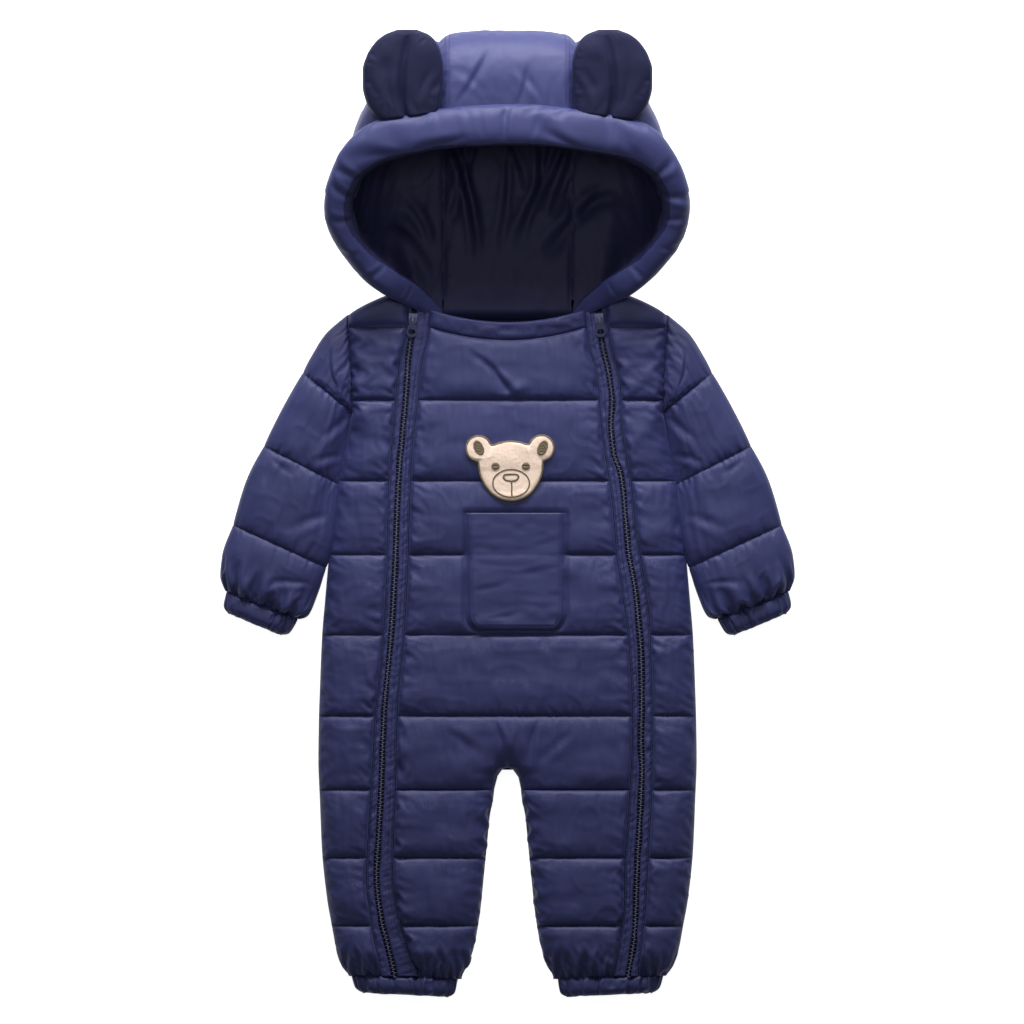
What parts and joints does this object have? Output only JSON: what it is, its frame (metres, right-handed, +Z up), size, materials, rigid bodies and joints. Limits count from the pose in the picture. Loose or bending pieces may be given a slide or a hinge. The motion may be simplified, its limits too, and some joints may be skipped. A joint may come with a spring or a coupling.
{
  "type": "baby snowsuit",
  "caption": "Padded, quilted one-piece snowsuit for a baby, laid flat on its back, with zips down both sides, a patch pocket and an open hood with bear ears.",
  "frame": {"origin": "on the surface the garment lies on, under the middle of its bounding box", "axes": "+Z up from the surface, through the front of the garment. +Y from the leg hems to the hood. +X to the wearer's left."},
  "size_m": [0.5396, 0.913, 0.1154],
  "materials": {
    "shell": "satin",
    "plush": "matte",
    "zip_teeth": "satin",
    "slider": "satin"
  },
  "bodies": {
    "garment": {"front_centre": "shell", "neck_band": "shell", "pocket": "shell", "bear_patch": "plush", "back_body": "shell", "hood_strip": "shell", "hood_brim": "shell", "front_side_left": "shell", "front_side_right": "shell", "front_leg_left": "shell", "front_leg_right": "shell", "back_leg_left": "shell", "back_leg_right": "shell", "sleeve_left": "shell", "sleeve_right": "shell", "sleeve_cuff_left": "shell", "sleeve_cuff_right": "shell", "leg_cuff_left": "shell", "leg_cuff_right": "shell", "zip_band_outer_left": "shell", "zip_band_outer_right": "shell", "zip_band_inner_left": "shell", "zip_band_inner_right": "shell", "zip_teeth_left": "zip_teeth", "zip_teeth_right": "zip_teeth", "zip_slider_left": "slider", "zip_slider_right": "slider", "hood_side_left": "shell", "hood_side_right": "shell", "ear_left": "shell", "ear_right": "shell"},
    "tab_left": {"pull_tab_left": "slider"},
    "tab_right": {"pull_tab_right": "slider"}
  },
  "joints": [
    {"name": "pull_tab_left_hinge", "type": "hinge", "parent": "garment", "child": "tab_left", "pos_m": [0.08623, 0.18151, 0.02665], "axis": [-0.9945, -0.1052, 0], "range_deg": [0, 95]},
    {"name": "pull_tab_right_hinge", "type": "hinge", "parent": "garment", "child": "tab_right", "pos_m": [-0.08898, 0.18151, 0.02665], "axis": [-0.9964, 0.0851, 0], "range_deg": [0, 95]}
  ]
}
